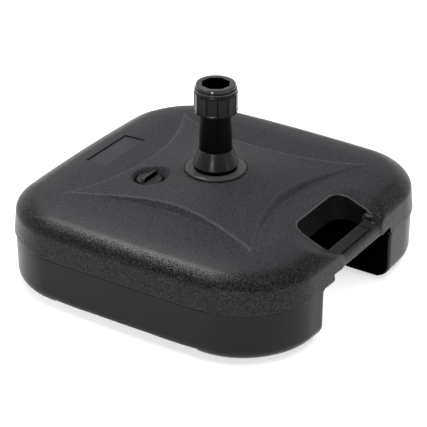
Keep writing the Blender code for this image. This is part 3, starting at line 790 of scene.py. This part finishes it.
def in_a_hollow(x, y, z, normal):
    """True low in the hand hole and in the notch, the stem's bore and the filler's neck, all in shade."""
    hole = (x > HOLE_X[0] - 0.001) & (x < HOLE_X[1] + 0.0015) & (np.abs(y) < HOLE_HALF_Y + 0.001)
    hole &= (normal[2] < 0.6) & (z < BAR_UNDERSIDE_Z + 0.004)
    outer = (normal[0] > 0.5) & (x > HOLE_X[1] + 0.01)
    notch = (x > HOLE_X[0] - 0.006) & (y > NOTCH_Y[0] - 0.004) & (y < NOTCH_Y[1] + 0.004)
    notch &= (normal[2] < 0.6) & (z < BAR_UNDERSIDE_Z + 0.001) & ~outer
    well = np.hypot(x, y) < WELL_RADIUS + 0.002
    neck = np.hypot(x - FILLER_X, y - FILLER_Y) < NECK_BORE + 0.001
    return hole | notch | well | neck


def tank():
    points, quads = mesh_distance(tank_distance, tank_lines())
    mesh = piece("tank_shell", points, quads, TANK_PLASTIC, "base", ("tank",)).data
    tank_fields(mesh)
    crease_star_foot(mesh)
    x, y, z = spots(mesh.polygons, "center")
    normal = spots(mesh.polygons, "normal")
    # Painted shade: near-black low in the hollows, and the darker hole-wall plastic on the hand hole's
    # walls above the parting line.
    wall = (np.abs(hand_hole(x, y)) < 0.0012) & (x < HOLE_X[1]) & (normal[2] < 0.5) & (z > PARTING_Z)
    paint(mesh, np.where(in_a_hollow(x, y, z, normal), 1, np.where(wall, 2, 0)), PAINTED_SHADE, SHADED_HOLE_WALL)


# ---------------------------------------------------------------- filler cap, stem and wheels


def cap_distance(x, y, z):
    """A disc with a rounded finger rib across it, over a plug."""
    reach = np.hypot(x - FILLER_X, y - FILLER_Y)
    top = CAP_SEAT_Z + CAP_THICKNESS
    disc = round_common(reach - CAP_RADIUS, z - top, 0.0012)
    disc = round_common(disc, CAP_SEAT_Z - z, 0.0004)
    run = np.abs(x - FILLER_X) - CAP_RIB_HALF[0]
    length = np.abs(y - FILLER_Y) - CAP_RIB_HALF[1]
    rib = round_common(length, z - CAP_RIB_TOP, 0.0050)
    rib = round_common(rib, run + (z - CAP_RIB_TOP) * 0.10, 0.0012)
    rib = np.maximum(rib, CAP_SEAT_Z + 0.0005 - z)
    plug = np.maximum(reach - NECK_BORE + 0.0006, np.maximum(CAP_PLUG_Z - z, z - top + 0.001))
    hollow = np.maximum(reach - NECK_BORE + 0.0031, z - CAP_SEAT_Z + 0.001)
    return round_cut(np.minimum(round_union(disc, rib, 0.0012), plug), hollow, 0.0004)


def filler_cap():
    spacing = 0.0007
    x, y = (
        grid_lines([(middle - CAP_RADIUS - 0.0013, spacing), (middle + CAP_RADIUS + 0.0013, spacing)])
        for middle in (FILLER_X, FILLER_Y)
    )
    z = grid_lines([
        (CAP_PLUG_Z - 0.0011, 0.0013), (CAP_SEAT_Z - 0.0011, spacing * 0.8), (CAP_RIB_TOP + 0.0012, 0),
    ])
    points, quads = mesh_distance(cap_distance, (x, y, z))
    cap = piece("filler_cap_skin", points, quads, CAP, "cap", ("filler_cap",), 40).data
    x, _, z = spots(cap.polygons, "center")
    slant, _, _ = spots(cap.polygons, "normal")
    top = CAP_SEAT_Z + CAP_THICKNESS
    # Painted shade: near-black on the rib's sides and on the cap below its top, in the gap round the disc.
    rib_side = (np.abs(slant) > 0.75) & (np.abs(x - FILLER_X) < 0.006) & (z > top + 0.0004)
    paint(cap, rib_side | (z < top - 0.0010), PAINTED_SHADE)


def fluted(radius, angle, z):
    """The hand nut: twelve flattened faces parted by narrow grooves, and an opening with eight sides."""
    pitch = 2 * math.pi / NUT_FLUTES
    turn = (angle - math.radians(7.5)) / pitch
    away = np.abs(turn - np.round(turn)) * pitch
    arc = away * NUT_RADIUS
    face = 1 - ((pitch / 2 - away) / (pitch / 2)) ** 2
    skirt = soft_step(NUT_SKIRT_TOP - z, 0.0002, 0.0042) * soft_step(z, NUT_FOOT_Z, NUT_FOOT_Z + 0.0012)
    change = -0.0008 * face - 0.0017 * np.exp(-((arc / 0.0011) ** 2))
    change += 0.0004 * np.exp(-(((arc - 0.0024) / 0.0008) ** 2))
    outer = radius + np.where(radius > 0.0295, skirt * change, 0)
    side = (angle + math.radians(12.2) + math.pi / 8) / (math.pi / 4)
    side = (side - np.floor(side) - 0.5) * math.pi / 4
    return np.where(radius < 0.0214, radius * 0.965 / np.cos(side), outer)


def clamp_nut():
    top = NUT_TOP_Z
    inner = HEAD_RADIUS + 0.0003
    land = HEAD_TOP_Z + 0.0050
    skirt = [(NUT_RADIUS, NUT_SKIRT_TOP - 0.002 - 0.0011 * i, 0) for i in range(1, 8)]
    profile = rounded([
        (0.0208, top, 0.0005), (0.0288, top, 0.0013), (0.0299, top - 0.0036, 0.0012),
        (0.0290, top - 0.0047, 0.0004), (0.0312, top - 0.0060, 0.0011), (0.0312, top - 0.0083, 0.0011),
        (0.0303, top - 0.0094, 0.0004), (NUT_RADIUS - 0.0010, NUT_SKIRT_TOP + 0.0002, 0.0006),
        (NUT_RADIUS, NUT_SKIRT_TOP - 0.0020, 0.0010), *skirt,
        (NUT_RADIUS, NUT_FOOT_Z + 0.0055, 0), (NUT_RADIUS, NUT_FOOT_Z + 0.0035, 0.0010),
        (NUT_RADIUS + 0.0005, NUT_FOOT_Z + 0.0020, 0.0006), (NUT_RADIUS - 0.0003, NUT_FOOT_Z, 0.0006),
        (inner, NUT_FOOT_Z, 0.0004), (inner, land, 0), (0.0230, land, 0), (0.0230, top - 0.0032, 0),
        (0.0208, top - 0.0032, 0),
    ])
    steps = 288
    points, quads = turned(profile, steps, fluted)
    nut = piece("clamp_nut_skin", points, quads, NUT, "nut", ("clamp_nut",), 38).data
    _, _, z = spots(nut.polygons, "center")
    # Painted sheen: the nut's flat crown takes the lighter flange plastic.
    paint(nut, np.where(z > top - 0.0003, 1, np.where(z > NUT_SKIRT_TOP, 2, 0)), FLANGE_AND_CROWN_SHEEN, BEAD)


def fixed_fitting(name, outline, look):
    """Turns an outline into a fitting that stays on the tank, and gives its mesh."""
    points, quads = turned(outline, 160)
    return piece(f"{name}_skin", points, quads, look, "base", (name,), 45).data


def stem():
    bore = TUBE_RADIUS + 0.0003
    seat = PLATEAU_Z + 0.0003
    flange = fixed_fitting("stem_flange", rounded([
        (bore, seat + 0.0034, 0), (FLANGE_SHADED_RADIUS, seat + 0.0034, 0), (0.0400, seat + 0.0034, 0),
        (0.0438, seat + 0.0031, 0.003), (0.0448, seat + 0.0020, 0.0010), (0.0446, seat + 0.0012, 0.0003),
        (0.0425, seat + 0.0009, 0), (0.0425, seat, 0), (WELL_RADIUS - 0.0003, seat, 0),
        (WELL_RADIUS - 0.0003, seat - 0.022, 0), (bore, seat - 0.022, 0),
    ]), FLANGE_AND_CROWN_SHEEN)
    # Painted shade: near-black on the flange where it lies in the collar's shade.
    x, y, _ = spots(flange.polygons, "center")
    paint(flange, np.hypot(x, y) < FLANGE_SHADED_RADIUS, PAINTED_SHADE)
    foot = COLLAR_FOOT_Z
    collar = fixed_fitting("stem_collar", rounded([
        (bore, COLLAR_TOP_Z, 0), (0.0254, COLLAR_TOP_Z, 0.0008), (0.0266, 0.1895, 0.012),
        (0.0279, 0.1850, 0.016), (0.0304, 0.1778, 0.016), (0.0334, 0.1706, 0.010),
        (0.0341, foot + 0.0010, 0.0014), (0.0331, foot - 0.0007, 0.0006), (0.0295, foot, 0.0004),
        (0.0295, seat + 0.0037, 0), (bore, seat + 0.0037, 0),
    ], 6), FITTING)
    # Painted shade: near-black on the collar's faces below its foot, on the neck under its lip.
    _, _, z = spots(collar.polygons, "center")
    paint(collar, z < foot - 0.0004, PAINTED_SHADE)
    foot = TUBE_FOOT_Z
    lip = TUBE_BORE - 0.003
    fixed_fitting("stem_tube", rounded([
        (HEAD_BORE, HEAD_TOP_Z, 0.0003), (HEAD_RADIUS, HEAD_TOP_Z, 0.0005),
        (HEAD_RADIUS, HEAD_FOOT_Z, 0.0004), (0.0236, HEAD_FOOT_Z - 0.003, 0.002), (0.0236, 0.240, 0.020),
        (TUBE_RADIUS, COLLAR_TOP_Z + 0.001, 0.010), (TUBE_RADIUS, foot, 0.0005), (lip, foot, 0.0003),
        (lip, foot + 0.003, 0.0003), (TUBE_BORE, foot + 0.003, 0), (TUBE_BORE, HEAD_FOOT_Z + 0.001, 0),
        (HEAD_BORE, HEAD_FOOT_Z + 0.003, 0),
    ], 6), GLOSS)


def wheel_tread(radius, angle, z):
    """Shallow cross grooves in the tread."""
    turn = angle * TREAD_GROOVES / (2 * math.pi)
    away = np.abs(turn - np.round(turn)) * 2 * math.pi / TREAD_GROOVES * WHEEL_RADIUS
    groove = 0.0007 * np.exp(-((away / 0.0006) ** 2))
    return radius - np.where(radius > WHEEL_RADIUS - 0.0012, groove, 0)


def wheel(side, sign):
    half = WHEEL_HALF_WIDTH
    bore = AXLE_RADIUS + 0.0003
    rim = WHEEL_RADIUS - 0.005
    front = [
        (bore, half, 0.0004), (0.0090, half, 0.0008), (0.0095, 0.0035, 0.0020), (rim, 0.0035, 0.0030),
        (rim + 0.0004, half, 0.0008), (WHEEL_RADIUS - 0.0004, half, 0.0030), (WHEEL_RADIUS, 0.004, 0.020),
    ]
    back = [(radius, -across, corner) for radius, across, corner in reversed(front)]
    points, quads = turned(rounded(front + back, 5), 216, wheel_tread)
    x, z, y = points.T
    points = np.stack([x + AXLE_X, y + sign * WHEEL_Y, AXLE_Z - z], axis=1)
    node_name = f"wheel_{side}"
    piece(f"{node_name}_skin", points, quads, WHEEL, f"{side}_wheel", (node_name,), 40)


# ---------------------------------------------------------------- floor, light, camera


def floor():
    made, tree, shader = material("floor", (0.93, 0.93, 0.93), 0.7, 0.1)
    shader.inputs["Emission Color"].default_value = (1, 1, 1, 1)
    shader.inputs["Emission Strength"].default_value = 0.20
    where = surface_point(tree)
    tint = mixed_colour(tree, noise(tree, where, 3), (0.925, 0.925, 0.928), (0.935, 0.935, 0.935))
    tree.links.new(tint, shader.inputs["Base Color"])
    mesh = bpy.data.meshes.new("floor")
    half = 6.0
    corners = [(-half, -half, 0), (half, -half, 0), (half, half, 0), (-half, half, 0)]
    mesh.from_pydata(corners, [], [(0, 1, 2, 3)])
    mesh.materials.append(made)
    obj = bpy.data.objects.new("floor", mesh)
    bpy.context.scene.collection.objects.link(obj)


def soft_box(name, place, target, size, power, seen_in_gloss=True, shadows=True):
    light = bpy.data.lights.new(name, "AREA")
    light.shape = "RECTANGLE"
    light.size, light.size_y = size
    light.energy = power
    light.use_shadow = shadows
    obj = bpy.data.objects.new(name, light)
    obj.location = place
    obj.rotation_euler = (Vector(target) - Vector(place)).to_track_quat("-Z", "Y").to_euler()
    obj.visible_glossy = seen_in_gloss
    bpy.context.scene.collection.objects.link(obj)


def lights():
    world = bpy.data.worlds.new("studio")
    bpy.context.scene.world = world
    world.use_nodes = True
    tree = world.node_tree
    sky = tree.nodes["Background"]
    split = tree.nodes.new("ShaderNodeSeparateXYZ")
    tree.links.new(tree.nodes.new("ShaderNodeTexCoord").outputs["Generated"], split.inputs["Vector"])
    height = ramp(tree, split.outputs["Z"], 0.08, 0.62, 0.80, 0.16)
    height = arithmetic(tree, "ADD", height, ramp(tree, split.outputs["Z"], 0.12, 0.42, 0.45, 0.0))
    sky.inputs["Color"].default_value = (1.0, 1.0, 1.0, 1)
    tree.links.new(height, sky.inputs["Strength"])
    soft_box("overhead", (0.5, 0.2, 3.0), (0, 0, 0.1), (3.0, 3.0), 84, False)
    soft_box("streak", (-0.952, 0.354, 1.798), (0.0, -0.22, 0.134), (0.16, 0.30), 24, shadows=False)
    soft_box("left", (0.55, -2.39, 0.70), (0, 0, 0.25), (0.36, 0.45), 13)
    soft_box("right", (2.49, 0.25, 0.70), (0, 0, 0.25), (0.26, 0.45), 1.5)


def camera():
    lens = bpy.data.cameras.new("camera")
    lens.lens = 165.4
    lens.sensor_width = 36
    obj = bpy.data.objects.new("camera", lens)
    azimuth, elevation = math.radians(32.77), math.radians(28.41)
    back = Vector((
        math.sin(azimuth) * math.cos(elevation),
        -math.cos(azimuth) * math.cos(elevation),
        math.sin(elevation),
    ))
    obj.location = (1.3912, -2.1674, 1.4761)
    obj.rotation_euler = back.to_track_quat("Z", "Y").to_euler()
    bpy.context.scene.collection.objects.link(obj)
    bpy.context.scene.camera = obj


bpy.context.scene.view_settings.view_transform = "Standard"
floor()
lights()
camera()
tank()
filler_cap()
clamp_nut()
stem()
wheel("left", -1)
wheel("right", 1)

# The pole's collet takes the near-black painted shade, as it sits deep inside the nut's opening.
for name, look in (
    ("filler_seal", RUBBER), ("pole_collet", PAINTED_SHADE), ("slip_washer", FITTING), ("lock_nut", FITTING),
    ("lock_washer", RUBBER), ("pole_stop", FITTING), ("wheel_axle", STEEL),
):
    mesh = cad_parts[name].data
    mesh.materials.clear()
    mesh.materials.append(look)
